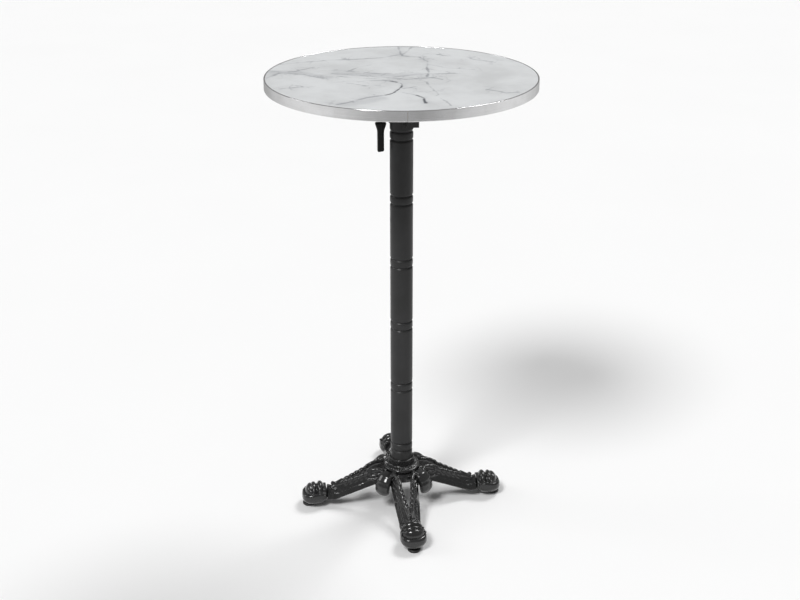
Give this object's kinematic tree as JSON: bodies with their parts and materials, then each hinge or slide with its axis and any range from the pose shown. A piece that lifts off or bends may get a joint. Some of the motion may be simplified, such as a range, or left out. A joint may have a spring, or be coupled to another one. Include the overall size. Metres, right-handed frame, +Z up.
{
  "type": "bistro table",
  "caption": "Tall round tilt-top bistro table: marble-look top with metal edge band, grooved column, squeeze latch, four-legged ornate cast base with paw feet on screw glides.",
  "frame": {"origin": "on the floor, under the column's axis", "axes": "+Z up along the column; the four legs lie along +X, -X, +Y and -Y; the top tips down towards +X and the latch handle hangs on the -X side"},
  "size_m": [0.606, 0.606, 1.08],
  "materials": {
    "marble_laminate": "satin laminate printed as cool white marble with grey veins",
    "particle_board": "raw particle board",
    "backing_laminate": "matt grey backing sheet",
    "edge_band": "brushed along its length, bright",
    "bracket_black": "black powder coat",
    "zinc_steel": "bright zinc plate",
    "hinge_bush": "natural nylon",
    "column_black": "satin charcoal powder coat",
    "base_black": "semi-gloss black paint over cast iron",
    "handle_black": "moulded black plastic",
    "buffer_rubber": "black rubber",
    "glide_black": "moulded black nylon"
  },
  "bodies": {
    "base": {"hinge_bolt_front": "bracket_black", "hinge_bolt_rear": "bracket_black", "column_head": "bracket_black", "tie_rod": "zinc_steel", "tie_washer_top": "zinc_steel", "tie_washer_bottom": "zinc_steel", "tie_nut_top": "zinc_steel", "tie_nut_bottom": "zinc_steel", "latch_pin": "zinc_steel", "latch_spring": "zinc_steel", "column_tube": "column_black", "base_casting": "base_black", "base_collar": "base_black", "rest_buffer_front": "buffer_rubber", "rest_buffer_rear": "buffer_rubber"},
    "top": {"tabletop_core": "particle_board", "marble_laminate": "marble_laminate", "backing_laminate": "backing_laminate", "edge_band": "edge_band", "top_frame": "bracket_black", "latch_keeper": "bracket_black", "hinge_bush_front": "hinge_bush", "hinge_bush_rear": "hinge_bush", "frame_screw_1": "zinc_steel", "frame_screw_2": "zinc_steel", "frame_screw_3": "zinc_steel", "frame_screw_4": "zinc_steel", "frame_screw_5": "zinc_steel", "frame_screw_6": "zinc_steel", "frame_screw_7": "zinc_steel", "frame_screw_8": "zinc_steel"},
    "latch": {"latch_lever": "bracket_black", "lever_handle": "handle_black"},
    "glide_1": {"glide_pad_1": "glide_black"},
    "stud_1": {"glide_stud_1": "zinc_steel"},
    "glide_2": {"glide_pad_2": "glide_black"},
    "stud_2": {"glide_stud_2": "zinc_steel"},
    "glide_3": {"glide_pad_3": "glide_black"},
    "stud_3": {"glide_stud_3": "zinc_steel"},
    "glide_4": {"glide_pad_4": "glide_black"},
    "stud_4": {"glide_stud_4": "zinc_steel"}
  },
  "joints": [
    {"name": "top_tilt", "type": "hinge", "parent": "base", "child": "top", "pos_m": [0.012, 0, 0.98], "axis": [0, 1, 0], "range_deg": [0, 90]},
    {"name": "latch_squeeze", "type": "hinge", "parent": "base", "child": "latch", "pos_m": [-0.046, 0, 0.994], "axis": [0, -1, 0], "range_deg": [0, 8], "stiffness_Nm_per_rad": 0.8, "springref_deg": -9.74},
    {"name": "glide_1_height", "type": "slide", "parent": "base", "child": "glide_1", "axis": [0, 0, -1], "range_m": [0, 0.008]},
    {"name": "stud_1_turn", "type": "hinge", "parent": "glide_1", "child": "stud_1", "pos_m": [0.233, 0, 0.02], "axis": [0, 0, -1], "range_deg": [0, 2310]},
    {"name": "glide_2_height", "type": "slide", "parent": "base", "child": "glide_2", "axis": [0, 0, -1], "range_m": [0, 0.008]},
    {"name": "stud_2_turn", "type": "hinge", "parent": "glide_2", "child": "stud_2", "pos_m": [0, 0.233, 0.02], "axis": [0, 0, -1], "range_deg": [0, 2310]},
    {"name": "glide_3_height", "type": "slide", "parent": "base", "child": "glide_3", "axis": [0, 0, -1], "range_m": [0, 0.008]},
    {"name": "stud_3_turn", "type": "hinge", "parent": "glide_3", "child": "stud_3", "pos_m": [-0.233, 0, 0.02], "axis": [0, 0, -1], "range_deg": [0, 2310]},
    {"name": "glide_4_height", "type": "slide", "parent": "base", "child": "glide_4", "axis": [0, 0, -1], "range_m": [0, 0.008]},
    {"name": "stud_4_turn", "type": "hinge", "parent": "glide_4", "child": "stud_4", "pos_m": [0, -0.233, 0.02], "axis": [0, 0, -1], "range_deg": [0, 2310]}
  ],
  "couplings": [
    {"joint": "stud_1_turn", "follows": "glide_1_height", "rad_per_m": 5026.6},
    {"joint": "stud_2_turn", "follows": "glide_2_height", "rad_per_m": 5026.6},
    {"joint": "stud_3_turn", "follows": "glide_3_height", "rad_per_m": 5026.6},
    {"joint": "stud_4_turn", "follows": "glide_4_height", "rad_per_m": 5026.6}
  ]
}
